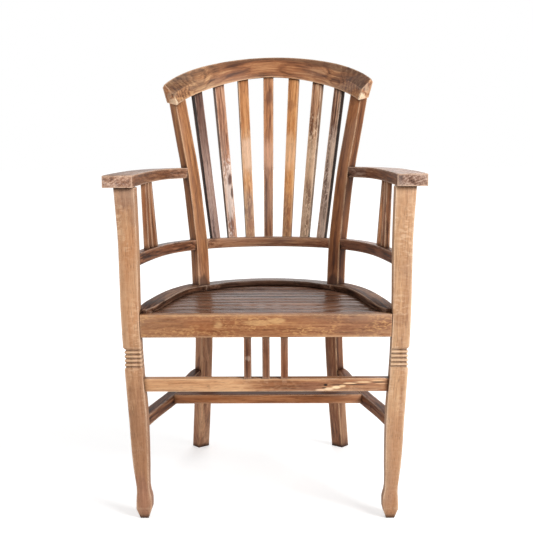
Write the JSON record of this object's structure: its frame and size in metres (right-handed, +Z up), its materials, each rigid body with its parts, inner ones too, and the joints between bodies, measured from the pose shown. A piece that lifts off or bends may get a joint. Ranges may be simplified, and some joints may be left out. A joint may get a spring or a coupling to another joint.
{
  "type": "planters chair",
  "caption": "Open-framed wooden armchair with a fanned slat back under a bowed crest, curved arms, a dished slat seat, spade feet and stretchers.",
  "frame": {"origin": "middle of the bounding box, on the floor", "axes": "+Z up, +Y from the sitter's knees to the back, +X to the right seen from the front"},
  "size_m": [0.6482, 0.6294, 0.9941],
  "materials": {
    "teak_front_leg": "satin",
    "teak_rear_post": "satin",
    "teak_crest_rail": "satin",
    "teak_back_slat": "satin",
    "teak_lower_back_rail": "satin",
    "teak_arm_spindle": "satin",
    "teak_arm_lower_rail": "satin",
    "teak_arm": "satin",
    "teak_front_seat_rail": "satin",
    "teak_seat_bearer": "satin",
    "teak_seat_slat": "satin",
    "teak_side_seat_rail": "satin",
    "teak_rear_seat_rail": "satin",
    "teak_front_stretcher": "satin",
    "teak_front_spindle": "satin",
    "teak_side_stretcher": "satin",
    "teak_cross_stretcher": "satin"
  },
  "bodies": {
    "root": {"front_leg_left": "teak_front_leg", "front_leg_right": "teak_front_leg", "rear_post_left": "teak_rear_post", "rear_post_right": "teak_rear_post", "front_seat_rail": "teak_front_seat_rail", "rear_seat_rail": "teak_rear_seat_rail", "side_seat_rail_left": "teak_side_seat_rail", "side_seat_rail_right": "teak_side_seat_rail", "seat_slat_1": "teak_seat_slat", "seat_slat_2": "teak_seat_slat", "seat_slat_3": "teak_seat_slat", "seat_slat_4": "teak_seat_slat", "seat_slat_5": "teak_seat_slat", "seat_slat_6": "teak_seat_slat", "seat_slat_7": "teak_seat_slat", "seat_slat_8": "teak_seat_slat", "seat_slat_9": "teak_seat_slat", "seat_bearer": "teak_seat_bearer", "lower_back_rail": "teak_lower_back_rail", "crest_rail": "teak_crest_rail", "back_slat_1": "teak_back_slat", "back_slat_2": "teak_back_slat", "back_slat_3": "teak_back_slat", "back_slat_4": "teak_back_slat", "back_slat_5": "teak_back_slat", "back_slat_6": "teak_back_slat", "back_slat_7": "teak_back_slat", "arm_left": "teak_arm", "arm_lower_rail_left": "teak_arm_lower_rail", "arm_spindle_left_1": "teak_arm_spindle", "arm_spindle_left_2": "teak_arm_spindle", "arm_spindle_left_3": "teak_arm_spindle", "arm_right": "teak_arm", "arm_lower_rail_right": "teak_arm_lower_rail", "arm_spindle_right_1": "teak_arm_spindle", "arm_spindle_right_2": "teak_arm_spindle", "arm_spindle_right_3": "teak_arm_spindle", "front_stretcher": "teak_front_stretcher", "front_spindle_1": "teak_front_spindle", "front_spindle_2": "teak_front_spindle", "front_spindle_3": "teak_front_spindle", "side_stretcher_left": "teak_side_stretcher", "side_stretcher_right": "teak_side_stretcher", "cross_stretcher": "teak_cross_stretcher"}
  },
  "joints": []
}
